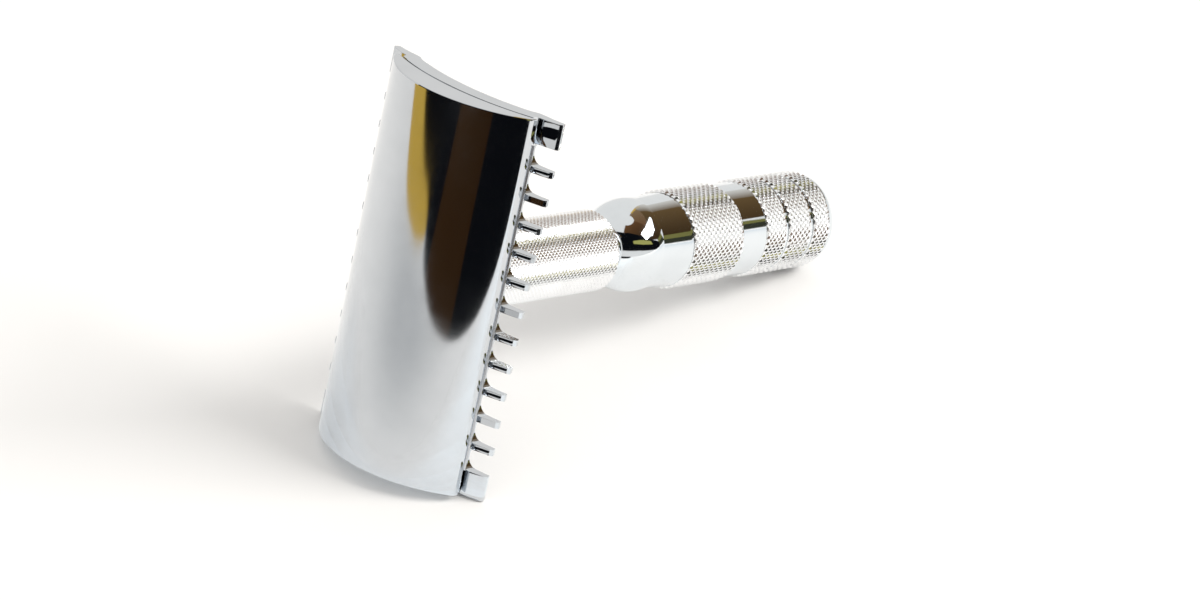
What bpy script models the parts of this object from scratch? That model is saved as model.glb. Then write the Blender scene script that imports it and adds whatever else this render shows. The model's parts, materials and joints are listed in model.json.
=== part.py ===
"""A three-piece open-comb safety razor with a two-part travel handle.

Every piece is modelled in the razor's own upright frame: X across the head, Y along the head,
Z along the handle towards the cap, with Z = 0 at the cap's lower edges. One empty then lays the
whole razor down, so that it rests on the comb's corners and the rim of the handle's end.
Units are metres, with MM as the helper.
"""

import math

import bmesh
import bpy
from mathutils import Matrix, Vector

MM = 0.001

# ---- Driving dimensions -------------------------------------------------------------------
BLADE_LENGTH = 43.0 * MM
BLADE_WIDTH = 22.0 * MM
BLADE_THICKNESS = 0.1 * MM
BLADE_BEND_RADIUS = 26.0 * MM
BLADE_EDGE_LENGTH = 37.4 * MM
BLADE_TAB_WIDTH = 12.6 * MM
BLADE_GAP = 0.04 * MM

CAP_LENGTH = 43.4 * MM
CAP_WIDTH = 21.0 * MM
CAP_EDGE_HEIGHT = 0.8 * MM
CAP_APEX = 5.8 * MM

COMB_HALF_WIDTH = 12.75 * MM
COMB_TIP_DROP = 1.4 * MM
COMB_TIP_THICKNESS = 0.75 * MM
COMB_THICKNESS = 2.0 * MM
LAND_HALF_WIDTH = 9.7 * MM
TOOTH_PITCH = 3.2 * MM
TOOTH_WIDTH = 0.7 * MM
TEETH_PER_SIDE = 11
SLOT_ROOT = 9.4 * MM
SLOT_FILLET = 1.1 * MM
BOSS_RADIUS = 4.4 * MM
BOSS_FACE = -3.2 * MM

STUD_RADIUS = 2.45 * MM
STUD_PITCH = 0.8 * MM
STUD_BOTTOM = -10.6 * MM
STUD_SEAT = 4.5 * MM
PIN_RADIUS = 1.4 * MM
PIN_SPACING = 26.0 * MM
PIN_BOTTOM = -1.6 * MM
PIN_SEAT = 3.9 * MM

FIT_GAP = 0.02 * MM
RUNNING_GAP = 0.05 * MM

# Handle stations, measured from Z = 0 towards the handle's end.
NECK_COLLAR_TOP = -3.25 * MM
NECK_SLEEVE_TOP = -7.0 * MM
NECK_SLEEVE_END = -26.3 * MM
BEAD_CENTRE = -32.6 * MM
SHOULDER_TOP = -33.0 * MM
GRIP_TOP = -38.2 * MM
WAIST_TOP = -47.0 * MM
BAND_1_TOP = -51.2 * MM
GROOVE_1_TOP = -54.85 * MM
BAND_2_TOP = -55.3 * MM
GROOVE_2_TOP = -59.4 * MM
END_CAP_TOP = -59.85 * MM
HANDLE_END = -64.3 * MM

NECK_COLLAR_RADIUS = 4.9 * MM
NECK_RADIUS = 4.65 * MM
BEAD_RADIUS = 5.42 * MM
SHOULDER_SMALL_RADIUS = 5.15 * MM
GRIP_RADIUS = 5.72 * MM
SHOULDER_LARGE_RADIUS = 5.42 * MM
WAIST_RADIUS = 5.47 * MM
GROOVE_RADIUS = 5.4 * MM
END_ROUND = 1.5 * MM

FRONT_CORE_RADIUS = 3.7 * MM
INSERT_RADIUS = 3.3 * MM
INSERT_BOTTOM = -12.2 * MM
TAIL_RADIUS = 3.0 * MM
TAIL_BOTTOM = -45.4 * MM
REAR_TUBE_RADIUS = 4.6 * MM
REAR_TUBE_BOTTOM = -61.6 * MM
END_PLUG_BOTTOM = -56.4 * MM

ROUND_STEPS = 48
HOLE_STEPS = 24
ARC_STEPS = 16


# ---- Scene helpers ------------------------------------------------------------------------
def clear_scene():
    for obj in list(bpy.data.objects):
        bpy.data.objects.remove(obj)


def make_collection(name):
    collection = bpy.data.collections.new(name)
    bpy.context.scene.collection.children.link(collection)
    return collection


def make_material(name, colour, roughness, metallic):
    material = bpy.data.materials.new(name)
    material.use_nodes = True
    shader = material.node_tree.nodes["Principled BSDF"]
    shader.inputs["Base Color"].default_value = (*colour, 1.0)
    shader.inputs["Roughness"].default_value = roughness
    shader.inputs["Metallic"].default_value = metallic
    return material


def add_object(name, data, collection, material=None):
    obj = bpy.data.objects.new(name, data)
    collection.objects.link(obj)
    obj.parent = LAID_DOWN
    if material is not None:
        data.materials.append(material)
    return obj


def add_cutter(name, mesh):
    cutter = add_object(name, mesh, CUTTERS)
    cutter.hide_render = True
    cutter.display_type = "WIRE"
    return cutter


def cut(obj, cutter):
    modifier = obj.modifiers.new(cutter.name, "BOOLEAN")
    modifier.operation = "DIFFERENCE"
    modifier.object = cutter


def join(obj, other):
    modifier = obj.modifiers.new(other.name, "BOOLEAN")
    modifier.operation = "UNION"
    modifier.object = other


# ---- Shape helpers ------------------------------------------------------------------------
def arc_points(centre, radius, start_deg, end_deg, steps):
    """Points (x, z) along an arc, angles from +X towards +Z."""
    points = []
    for step in range(steps + 1):
        angle = math.radians(start_deg + (end_deg - start_deg) * step / steps)
        points.append((centre[0] + radius * math.cos(angle), centre[1] + radius * math.sin(angle)))
    return points


def crown(half_width, apex, radius, steps):
    """Points (x, z) from +half_width to -half_width over a crown of this radius."""
    half_angle = math.degrees(math.asin(half_width / radius))
    return arc_points((0.0, apex - radius), radius, 90 - half_angle, 90 + half_angle, steps)


def turned(name, profile, material, closed=True, steps=ROUND_STEPS):
    """A body of revolution about Z. The profile (radius, z) runs down its outer side."""
    mesh = bpy.data.meshes.new(name)
    edges = [(i, i + 1) for i in range(len(profile) - 1)]
    if closed:
        edges.append((len(profile) - 1, 0))
    mesh.from_pydata([(radius, 0.0, z) for radius, z in profile], edges, [])
    obj = add_object(name, mesh, RAZOR, material)
    screw = obj.modifiers.new("Turn", "SCREW")
    screw.axis = "Z"
    screw.angle = math.tau
    screw.steps = steps
    screw.render_steps = steps
    screw.use_merge_vertices = True
    screw.merge_threshold = 0.000001
    screw.use_smooth_shade = True
    return obj


def ring_profile(outer, bore, top, bottom, chamfer=0.0):
    """A plain sleeve from top down to bottom, its outer corners chamfered."""
    points = [(outer - chamfer, top), (outer, top - chamfer)] if chamfer else [(outer, top)]
    points += [(outer, bottom + chamfer), (outer - chamfer, bottom)] if chamfer else [(outer, bottom)]
    return points + [(bore, bottom), (bore, top)]


def prism_mesh(name, outline, half_length):
    """A closed mesh from a flat (x, z) outline, extruded along Y both ways."""
    curve = bpy.data.curves.new(name, "CURVE")
    curve.dimensions = "2D"
    curve.fill_mode = "BOTH"
    curve.extrude = half_length
    spline = curve.splines.new("POLY")
    spline.points.add(len(outline) - 1)
    for point, (x, z) in zip(spline.points, outline):
        point.co = (x, z, 0.0, 1.0)
    spline.use_cyclic_u = True
    helper = bpy.data.objects.new(name + "_outline", curve)
    CUTTERS.objects.link(helper)
    mesh = mesh_of(helper, name)
    mesh.transform(Matrix.Rotation(math.radians(90), 4, "X"))
    return mesh


def mesh_of(helper, name):
    """The helper's evaluated shape as a welded mesh. The helper is removed."""
    bpy.context.view_layer.update()
    graph = bpy.context.evaluated_depsgraph_get()
    mesh = bpy.data.meshes.new_from_object(helper.evaluated_get(graph))
    mesh.name = name
    bpy.data.objects.remove(helper)
    shape = bmesh.new()
    shape.from_mesh(mesh)
    bmesh.ops.remove_doubles(shape, verts=shape.verts, dist=0.000001)
    bmesh.ops.recalc_face_normals(shape, faces=shape.faces)
    shape.to_mesh(mesh)
    shape.free()
    return mesh


def cylinder_mesh(name, radius, top, bottom, places=((0.0, 0.0),), steps=HOLE_STEPS):
    """Upright cylinders of one size, standing at each (x, y) place."""
    shape = bmesh.new()
    for x, y in places:
        centre = Matrix.Translation((x, y, (top + bottom) / 2))
        bmesh.ops.create_cone(
            shape, cap_ends=True, segments=steps, radius1=radius, radius2=radius,
            depth=top - bottom, matrix=centre,
        )
    mesh = bpy.data.meshes.new(name)
    shape.to_mesh(mesh)
    shape.free()
    return mesh


def pin_places():
    return [(0.0, PIN_SPACING / 2), (0.0, -PIN_SPACING / 2)]


# ---- The head -----------------------------------------------------------------------------
def underside_apex():
    """Height of the cap's underside over the handle's axis."""
    half = CAP_WIDTH / 2
    return BLADE_BEND_RADIUS - math.sqrt(BLADE_BEND_RADIUS**2 - half**2)


def make_cap():
    half = CAP_WIDTH / 2
    sagitta = CAP_APEX - CAP_EDGE_HEIGHT
    crown_radius = (half**2 + sagitta**2) / (2 * sagitta)
    outside = crown(half, CAP_APEX, crown_radius, 2 * ARC_STEPS)
    inside = crown(half, underside_apex(), BLADE_BEND_RADIUS, ARC_STEPS)
    outline = outside + inside[::-1]
    cap = add_object("cap", prism_mesh("cap", outline, CAP_LENGTH / 2), RAZOR, CHROME)
    stud_seat = cylinder_mesh("cap_stud_seat", STUD_RADIUS + FIT_GAP, STUD_SEAT + FIT_GAP, 0.0)
    pin_seats = cylinder_mesh("cap_pin_seats", PIN_RADIUS + FIT_GAP, PIN_SEAT + FIT_GAP, 0.0, pin_places())
    cut(cap, add_cutter("cap_stud_seat", stud_seat))
    cut(cap, add_cutter("cap_pin_seats", pin_seats))


def make_stud():
    lead_in = 0.5 * MM
    profile = [
        (0.0, STUD_SEAT),
        (STUD_RADIUS, STUD_SEAT),
        (STUD_RADIUS, STUD_BOTTOM + lead_in),
        (STUD_RADIUS - lead_in, STUD_BOTTOM),
        (0.0, STUD_BOTTOM),
    ]
    turned("cap_stud", profile, STEEL, closed=False)


def make_pins():
    lead_in = 0.3 * MM
    for side, (x, y) in zip(("upper", "lower"), pin_places()):
        profile = [
            (0.0, PIN_SEAT),
            (PIN_RADIUS, PIN_SEAT),
            (PIN_RADIUS, PIN_BOTTOM + lead_in),
            (PIN_RADIUS - lead_in, PIN_BOTTOM),
            (0.0, PIN_BOTTOM),
        ]
        pin = turned("locating_pin_" + side, profile, STEEL, closed=False, steps=HOLE_STEPS)
        pin.location = (x, y, 0.0)


def make_blade():
    """The standard double-edge blade, held bent between the cap and the comb plate."""
    mid_apex = underside_apex() - BLADE_GAP - BLADE_THICKNESS / 2
    half_angle = BLADE_WIDTH / 2 / BLADE_BEND_RADIUS
    half_chord = BLADE_BEND_RADIUS * math.sin(half_angle)
    line = crown(half_chord, mid_apex + BLADE_THICKNESS / 2, BLADE_BEND_RADIUS, ARC_STEPS)
    half_length = BLADE_LENGTH / 2
    rows = [[Vector((x, y, z)) for x, z in line] for y in (half_length, -half_length)]
    vertices = rows[0] + rows[1]
    count = len(line)
    faces = [(i, i + 1, count + i + 1, count + i) for i in range(count - 1)]
    mesh = bpy.data.meshes.new("blade")
    mesh.from_pydata(vertices, [], faces)
    blade = add_object("blade", mesh, RAZOR, BLADE_STEEL)
    sheet = blade.modifiers.new("Thickness", "SOLIDIFY")
    sheet.thickness = BLADE_THICKNESS
    sheet.offset = -1.0
    slot = blade_slot_mesh()
    corners = corner_notches_mesh()
    cut(blade, add_cutter("blade_slot", slot))
    cut(blade, add_cutter("blade_corners", corners))


def upright_prism(name, outline, top, bottom):
    """A closed mesh from a flat (x, y) outline, standing from bottom up to top."""
    mesh = prism_mesh(name, outline, (top - bottom) / 2)
    mesh.transform(Matrix.Rotation(math.radians(-90), 4, "X"))
    mesh.transform(Matrix.Translation((0.0, 0.0, (top + bottom) / 2)))
    return mesh


def blade_slot_mesh():
    """The long slot: a hole for the stud in the middle and one for each locating pin."""
    slot_half = 0.8 * MM
    stud_hole = STUD_RADIUS + 0.5 * MM
    pin_hole = PIN_RADIUS + 0.15 * MM
    spread = math.degrees(math.asin(slot_half / stud_hole))
    pin_spread = math.degrees(math.asin(slot_half / pin_hole))
    pin_y = PIN_SPACING / 2
    right = arc_points((0.0, 0.0), stud_hole, -90 + spread, 90 - spread, ARC_STEPS)
    top = arc_points((0.0, pin_y), pin_hole, -90 + pin_spread, 270 - pin_spread, ARC_STEPS)
    left = arc_points((0.0, 0.0), stud_hole, 90 + spread, 270 - spread, ARC_STEPS)
    bottom = arc_points((0.0, -pin_y), pin_hole, 90 + pin_spread, 450 - pin_spread, ARC_STEPS)
    return upright_prism("blade_slot", right + top + left + bottom, 4 * MM, -1 * MM)


def corner_notches_mesh():
    """The four corners that a blade's end tabs leave open."""
    reach = 2 * MM
    shape = bmesh.new()
    for side_x in (-1, 1):
        for side_y in (-1, 1):
            inner = Vector((side_x * BLADE_TAB_WIDTH / 2, side_y * BLADE_EDGE_LENGTH / 2, -2 * MM))
            outer = Vector((side_x * (BLADE_WIDTH / 2 + reach), side_y * (BLADE_LENGTH / 2 + reach), 4 * MM))
            size = [abs(outer[k] - inner[k]) for k in range(3)]
            place = Matrix.Translation((inner + outer) / 2) @ Matrix.Diagonal((*size, 1.0))
            bmesh.ops.create_cube(shape, size=1.0, matrix=place)
    mesh = bpy.data.meshes.new("blade_corners")
    shape.to_mesh(mesh)
    shape.free()
    return mesh


def comb_outline():
    """Cross-section of the comb plate: the blade's land in the middle, drooping teeth outside."""
    land_apex = underside_apex() - 2 * BLADE_GAP - BLADE_THICKNESS
    land_radius = BLADE_BEND_RADIUS - BLADE_THICKNESS - BLADE_GAP
    land = crown(LAND_HALF_WIDTH, land_apex, land_radius, ARC_STEPS)
    step_foot = (LAND_HALF_WIDTH + 0.15 * MM, -0.6 * MM)
    tooth_middle = (LAND_HALF_WIDTH + 1.2 * MM, -0.75 * MM)
    tip_top = (COMB_HALF_WIDTH - 0.15 * MM, -COMB_TIP_DROP + 0.1 * MM)
    tip_nose = (COMB_HALF_WIDTH, -COMB_TIP_DROP - 0.15 * MM)
    tip_under = (COMB_HALF_WIDTH - 0.25 * MM, -COMB_TIP_DROP - COMB_TIP_THICKNESS)
    tooth_under = (LAND_HALF_WIDTH + 1.4 * MM, -COMB_TIP_DROP - 0.55 * MM)
    root_under = (LAND_HALF_WIDTH - 0.7 * MM, -COMB_THICKNESS + 0.15 * MM)
    right = [root_under, tooth_under, tip_under, tip_nose, tip_top, tooth_middle, step_foot]
    left = [(-x, z) for x, z in right[::-1]]
    belly = crown(LAND_HALF_WIDTH - 1.4 * MM, land_apex - COMB_THICKNESS, land_radius, ARC_STEPS // 2)
    return right + land + left + belly[::-1]


def comb_slots_mesh():
    """The gaps between the teeth, as upright prisms with rounded roots, on both sides."""
    outer = COMB_HALF_WIDTH + 1 * MM
    half = (TOOTH_PITCH - TOOTH_WIDTH) / 2
    root = SLOT_ROOT + SLOT_FILLET
    lower_corner = arc_points((root, -half + SLOT_FILLET), SLOT_FILLET, 180, 270, 4)
    upper_corner = arc_points((root, half - SLOT_FILLET), SLOT_FILLET, 90, 180, 4)
    outline = [(outer, half)] + upper_corner + lower_corner + [(outer, -half)]
    one = upright_prism("comb_slot", outline, 2 * MM, -5 * MM)
    shape = bmesh.new()
    for index in range(TEETH_PER_SIDE + 1):
        middle = (index - TEETH_PER_SIDE / 2) * TOOTH_PITCH
        for turn in (0.0, math.pi):
            placed = one.copy()
            placed.transform(Matrix.Translation((0.0, middle, 0.0)) @ Matrix.Rotation(turn, 4, "Z"))
            shape.from_mesh(placed)
            bpy.data.meshes.remove(placed)
    mesh = bpy.data.meshes.new("comb_slots")
    shape.to_mesh(mesh)
    shape.free()
    return mesh


def make_comb_plate():
    plate = prism_mesh("comb_plate", comb_outline(), CAP_LENGTH / 2)
    comb = add_object("comb_plate", plate, RAZOR, CHROME)
    boss = cylinder_mesh("comb_boss", BOSS_RADIUS, 0.5 * MM, BOSS_FACE, steps=ROUND_STEPS)
    join(comb, add_cutter("comb_boss", boss))
    cut(comb, add_cutter("comb_slots", comb_slots_mesh()))
    stud_hole = cylinder_mesh("comb_stud_hole", STUD_RADIUS + 0.2 * MM, 4 * MM, -6 * MM)
    pin_holes = cylinder_mesh("comb_pin_holes", PIN_RADIUS + 0.1 * MM, 4 * MM, -6 * MM, pin_places())
    cut(comb, add_cutter("comb_stud_hole", stud_hole))
    cut(comb, add_cutter("comb_pin_holes", pin_holes))


# ---- The front half of the handle ---------------------------------------------------------
def make_neck_collar():
    radius = NECK_COLLAR_RADIUS
    bottom = NECK_SLEEVE_TOP + FIT_GAP
    waist = radius - 0.75 * MM
    profile = [
        (radius - 0.35 * MM, NECK_COLLAR_TOP),
        (radius, NECK_COLLAR_TOP - 0.35 * MM),
        (radius, NECK_COLLAR_TOP - 1.1 * MM),
        (waist, NECK_COLLAR_TOP - 2.0 * MM),
        (waist, bottom),
        (FRONT_CORE_RADIUS + FIT_GAP, bottom),
        (FRONT_CORE_RADIUS + FIT_GAP, NECK_COLLAR_TOP),
    ]
    turned("neck_collar", profile, CHROME)


def make_thread_insert():
    top = NECK_COLLAR_TOP - 0.6 * MM
    bore = STUD_RADIUS + RUNNING_GAP
    turned("thread_insert", ring_profile(INSERT_RADIUS, bore, top, INSERT_BOTTOM), BRASS)


def make_front_core():
    """The spindle inside the neck and the bead: a socket for the insert at the top, a screw tail below."""
    pocket = INSERT_RADIUS + FIT_GAP
    lead_in = 0.4 * MM
    profile = [
        (FRONT_CORE_RADIUS, NECK_COLLAR_TOP - FIT_GAP),
        (FRONT_CORE_RADIUS, NECK_SLEEVE_END),
        (TAIL_RADIUS, NECK_SLEEVE_END),
        (TAIL_RADIUS, TAIL_BOTTOM + lead_in),
        (TAIL_RADIUS - lead_in, TAIL_BOTTOM),
        (0.0, TAIL_BOTTOM),
    ]
    inside = [(0.0, INSERT_BOTTOM - FIT_GAP), (pocket, INSERT_BOTTOM - FIT_GAP), (pocket, NECK_COLLAR_TOP - FIT_GAP)]
    loop = profile + inside
    turned("front_core", loop + [loop[0]], STEEL, closed=False)


def make_neck_sleeve():
    bore = FRONT_CORE_RADIUS + FIT_GAP
    turned("neck_sleeve", ring_profile(NECK_RADIUS, bore, NECK_SLEEVE_TOP, NECK_SLEEVE_END, 0.25 * MM), CHROME)


def make_bead():
    """A ball cut off at the shoulder, with a short narrow collar that reaches up to the neck sleeve."""
    bore = TAIL_RADIUS + FIT_GAP
    collar = bore + 0.1 * MM
    top = NECK_SLEEVE_END - FIT_GAP
    bottom = SHOULDER_TOP + FIT_GAP
    upper = math.degrees(math.acos(collar / BEAD_RADIUS))
    lower = math.degrees(math.asin((bottom - BEAD_CENTRE) / BEAD_RADIUS))
    ball = arc_points((0.0, BEAD_CENTRE), BEAD_RADIUS, upper, lower, ARC_STEPS)
    turned("bead", [(collar, top)] + ball + [(bore, bottom), (bore, top)], CHROME)


# ---- The loose shoulder ring --------------------------------------------------------------
def make_shoulder_ring():
    bore = TAIL_RADIUS + RUNNING_GAP
    top = SHOULDER_TOP - FIT_GAP
    bottom = GRIP_TOP + FIT_GAP
    profile = [
        (SHOULDER_SMALL_RADIUS, top),
        (SHOULDER_LARGE_RADIUS, bottom + 0.3 * MM),
        (SHOULDER_LARGE_RADIUS, bottom),
        (bore, bottom),
        (bore, top),
    ]
    turned("shoulder_ring", profile, CHROME)


# ---- The rear half of the handle ----------------------------------------------------------
def make_rear_tube():
    """The tube that the rear sleeves sit on. Its bore takes the front half's screw tail."""
    bore = TAIL_RADIUS + RUNNING_GAP
    turned("rear_tube", ring_profile(REAR_TUBE_RADIUS, bore, GRIP_TOP, REAR_TUBE_BOTTOM), STEEL)


def make_rear_sleeves():
    bore = REAR_TUBE_RADIUS + FIT_GAP
    sleeves = [
        ("grip_sleeve", GRIP_RADIUS, GRIP_TOP, WAIST_TOP, 0.25 * MM),
        ("waist_ring", WAIST_RADIUS, WAIST_TOP, BAND_1_TOP, 0.0),
        ("rear_band_front", GRIP_RADIUS, BAND_1_TOP, GROOVE_1_TOP, 0.15 * MM),
        ("groove_ring_front", GROOVE_RADIUS, GROOVE_1_TOP, BAND_2_TOP, 0.0),
        ("rear_band_middle", GRIP_RADIUS, BAND_2_TOP, GROOVE_2_TOP, 0.15 * MM),
        ("groove_ring_back", GROOVE_RADIUS, GROOVE_2_TOP, END_CAP_TOP, 0.0),
    ]
    for name, radius, top, bottom, chamfer in sleeves:
        turned(name, ring_profile(radius, bore, top, bottom + FIT_GAP, chamfer), CHROME)


def make_end_cap():
    """The knurled cup that closes the handle and clamps the sleeves against the grip."""
    bore = REAR_TUBE_RADIUS + FIT_GAP
    floor = REAR_TUBE_BOTTOM - FIT_GAP
    corner = arc_points((GRIP_RADIUS - END_ROUND, HANDLE_END + END_ROUND), END_ROUND, 0, -90, 6)
    profile = [(GRIP_RADIUS - 0.15 * MM, END_CAP_TOP), (GRIP_RADIUS, END_CAP_TOP - 0.15 * MM)]
    profile += corner + [(0.0, HANDLE_END), (0.0, floor), (bore, floor), (bore, END_CAP_TOP)]
    turned("end_cap", profile + [profile[0]], CHROME, closed=False)


def make_end_plug():
    """The plug pressed into the tube's end, which the end cap covers."""
    radius = TAIL_RADIUS + RUNNING_GAP - FIT_GAP
    bottom = REAR_TUBE_BOTTOM
    profile = [(0.0, END_PLUG_BOTTOM), (radius, END_PLUG_BOTTOM), (radius, bottom), (0.0, bottom)]
    turned("end_plug", profile, STEEL, closed=False)


# ---- Laying the razor down ----------------------------------------------------------------
def resting_tilt():
    """Angle of the handle below level, with the comb's corners and the end's rim on a table."""
    head_drop = CAP_LENGTH / 2
    head_back = COMB_TIP_DROP + COMB_TIP_THICKNESS
    end_drop = GRIP_RADIUS - END_ROUND
    end_back = -(HANDLE_END + END_ROUND)
    span = math.hypot(head_drop - end_drop, end_back - head_back)
    lean = math.atan2(head_drop - end_drop, end_back - head_back)
    return lean - math.asin(END_ROUND / span)


def lay_down(frame):
    """Turns the upright razor onto the table and centres its box over the origin."""
    tilt = resting_tilt()
    half_length = CAP_LENGTH / 2
    floor = -(half_length * math.cos(tilt) + (COMB_TIP_DROP + COMB_TIP_THICKNESS) * math.sin(tilt))
    nearest = -(CAP_APEX * math.cos(tilt) + half_length * math.sin(tilt))
    end_radius = GRIP_RADIUS - END_ROUND
    furthest = -(HANDLE_END + END_ROUND) * math.cos(tilt) + end_radius * math.sin(tilt) + END_ROUND
    frame.rotation_euler = (math.radians(90) - tilt, 0.0, 0.0)
    frame.location = (0.0, -(nearest + furthest) / 2, -floor)


clear_scene()
RAZOR = make_collection("safety_razor")
CUTTERS = make_collection("cutters")
LAID_DOWN = bpy.data.objects.new("laid_down", None)
bpy.context.scene.collection.objects.link(LAID_DOWN)
CHROME = make_material("chrome", (0.86, 0.87, 0.88), 0.06, 1.0)
STEEL = make_material("steel", (0.62, 0.62, 0.63), 0.28, 1.0)
BLADE_STEEL = make_material("blade_steel", (0.7, 0.72, 0.75), 0.15, 1.0)
BRASS = make_material("brass", (0.78, 0.6, 0.3), 0.3, 1.0)

make_cap()
make_stud()
make_pins()
make_blade()
make_comb_plate()
make_neck_collar()
make_thread_insert()
make_front_core()
make_neck_sleeve()
make_bead()
make_shoulder_ring()
make_rear_tube()
make_rear_sleeves()
make_end_cap()
make_end_plug()
lay_down(LAID_DOWN)
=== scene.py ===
"""Looks of the safety razor: smooth chromed shells, real knurling, screw threads and a studio."""

import json
import math
import random

import bmesh
import bpy
import numpy as np
from mathutils import Matrix, Vector


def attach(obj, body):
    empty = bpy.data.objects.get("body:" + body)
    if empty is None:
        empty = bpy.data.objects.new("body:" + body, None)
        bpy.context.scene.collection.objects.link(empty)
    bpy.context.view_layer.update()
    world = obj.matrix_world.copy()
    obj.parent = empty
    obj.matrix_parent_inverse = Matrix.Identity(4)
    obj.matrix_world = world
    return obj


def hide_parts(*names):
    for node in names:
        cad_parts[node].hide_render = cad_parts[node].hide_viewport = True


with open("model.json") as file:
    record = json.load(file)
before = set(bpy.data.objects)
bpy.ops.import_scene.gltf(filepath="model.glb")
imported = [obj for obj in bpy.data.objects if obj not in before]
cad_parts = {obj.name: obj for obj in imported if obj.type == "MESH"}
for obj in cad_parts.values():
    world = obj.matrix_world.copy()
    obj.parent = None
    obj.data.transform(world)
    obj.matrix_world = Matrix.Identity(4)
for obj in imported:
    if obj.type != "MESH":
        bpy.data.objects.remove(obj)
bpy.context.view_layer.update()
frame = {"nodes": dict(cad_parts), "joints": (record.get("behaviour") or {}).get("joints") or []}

MM = 0.001

# ---- Driving values -----------------------------------------------------------------------
ROUND_STEPS = 128
SMOOTH_ANGLE = math.radians(32)
FLAT_ANGLE = math.radians(19)

NECK_KNURL_PITCH = 0.57 * MM
NECK_KNURL_DEPTH = 0.08 * MM
GRIP_KNURL_PITCH = 0.8 * MM
GRIP_KNURL_DEPTH = 0.22 * MM
KNURL_FLAT = 0.4
KNURL_WEAR = 0.05

BEAD_CENTRE = -32.6 * MM
BEAD_COLLAR_WALL = 0.1 * MM
SHOULDER_SMALL_RADIUS = 5.15 * MM
END_ROUND = 1.5 * MM
TAIL_RADIUS = 3.0 * MM
TAIL_PITCH = 1.0 * MM
STUD_PITCH = 0.8 * MM
STUD_THREAD_TOP = -1.5 * MM
PLAY = 0.02 * MM

STUD_HOLE_RADIUS = 2.65 * MM
PIN_HOLE_RADIUS = 1.5 * MM
PIN_Y = 13 * MM
BOSS_RADIUS = 4.4 * MM
BOSS_TOP = 0.1 * MM
BOSS_BOTTOM = -3.2 * MM
BEND_RADIUS = 26 * MM
BLADE_THICKNESS = 0.1 * MM
LAND_BEND_RADIUS = BEND_RADIUS - 0.14 * MM
TOOTH_PITCH = 3.2 * MM
TOOTH_WIDTH = 0.7 * MM
TEETH = 11
SLOT_ROOT = 9.4 * MM
SLOT_FILLET = 1.1 * MM
LAND = 9.7 * MM
COMB_THICKNESS = 2 * MM

CAMERA_AIM = Vector((1.1 * MM, 0.2 * MM, 8.5 * MM))
CAMERA_DISTANCE = 510 * MM
CAMERA_AZIMUTH = math.radians(42.65)
CAMERA_ELEVATION = math.radians(29.8)
CAMERA_ROLL = math.radians(2.03)
CAMERA_LENS = 135.2


# ---- The razor's own frame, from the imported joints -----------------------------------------
def razor_frame():
    """Matrix from the razor's own frame (X across the head, Y along it, Z to the cap) to the row frame."""
    joint = next(j for j in frame["joints"] if j["name"] == "head_turn")
    z_axis = Vector(joint["axis"]).normalized()
    x_axis = Vector((1.0, 0.0, 0.0))
    y_axis = z_axis.cross(x_axis)
    matrix = Matrix((x_axis, y_axis, z_axis)).transposed().to_4x4()
    matrix.translation = Vector(joint["pos_m"])
    return matrix


RAZOR = razor_frame()


def own_points(node):
    """A CAD node's corners in the razor's own frame, as rows of x, y, z."""
    inverse = RAZOR.inverted()
    return np.array([tuple(inverse @ v.co) for v in frame["nodes"][node].data.vertices])


def span(node):
    """(top, bottom, outer radius, bore radius) of a round CAD node, in its own frame."""
    points = own_points(node)
    radii = np.hypot(points[:, 0], points[:, 1])
    return points[:, 2].max(), points[:, 2].min(), radii.max(), radii.min()


def place(name, mesh, body, material, nodes):
    """Puts a piece made in the razor's own frame into the row frame, on its body.

    It stands in for the named CAD nodes. A second piece of a node that is already replaced names none.
    """
    mesh.transform(RAZOR)
    mesh.materials.append(material)
    piece = bpy.data.objects.new(name, mesh)
    bpy.context.scene.collection.objects.link(piece)
    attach(piece, body)
    if nodes:
        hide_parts(*nodes)


def finish_shape(shape, name, smooth=True):
    """The shape as a mesh with its faces turned outwards."""
    bmesh.ops.recalc_face_normals(shape, faces=shape.faces)
    mesh = bpy.data.meshes.new(name)
    shape.to_mesh(mesh)
    shape.free()
    if smooth:
        mesh.shade_smooth()
        mesh.set_sharp_from_angle(angle=SMOOTH_ANGLE)
    return mesh


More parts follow.
